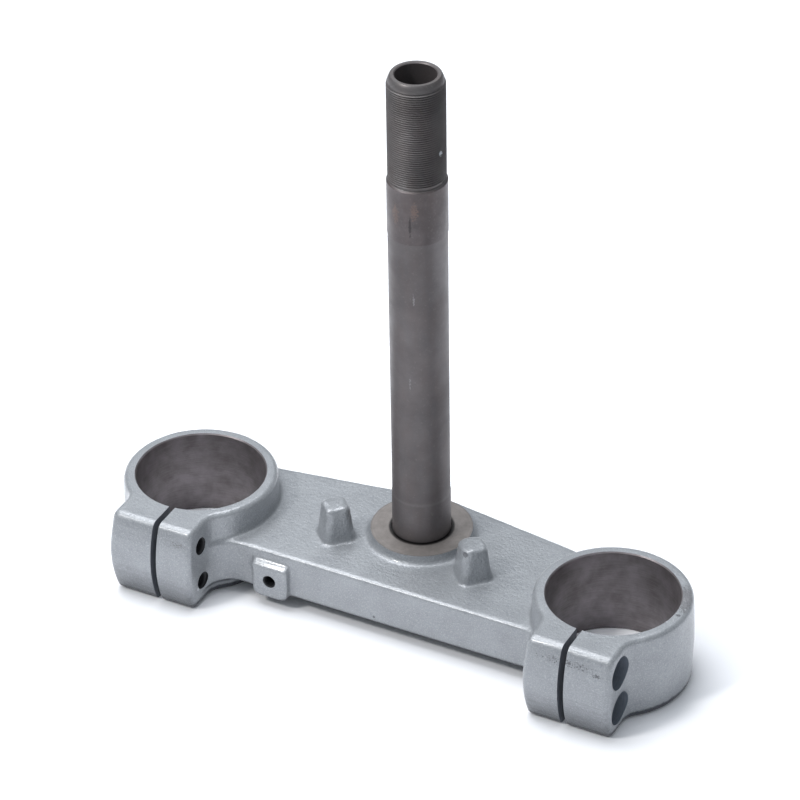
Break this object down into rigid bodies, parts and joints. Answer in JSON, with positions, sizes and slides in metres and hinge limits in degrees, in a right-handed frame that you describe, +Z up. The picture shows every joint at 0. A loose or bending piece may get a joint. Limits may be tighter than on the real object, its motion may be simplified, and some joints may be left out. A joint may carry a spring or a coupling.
{
  "type": "motorcycle lower triple clamp",
  "caption": "Lower triple clamp with its steering stem: a cast yoke with split fork clamps and pinch ears, steering stops and a threaded tubular stem.",
  "frame": {"origin": "on the steering axis, at the machined face of the hub that the lower steering bearing sits on", "axes": "+X across the clamps, from left to right seen from the front of the bike; +Y towards the rider, away from the pinch slots; +Z up the steering stem"},
  "size_m": [0.2628, 0.0914, 0.2517],
  "materials": {
    "cast_paint": "satin",
    "turned_steel": "satin"
  },
  "bodies": {
    "root": {"yoke": "cast_paint", "steering_stem": "turned_steel"}
  },
  "joints": []
}
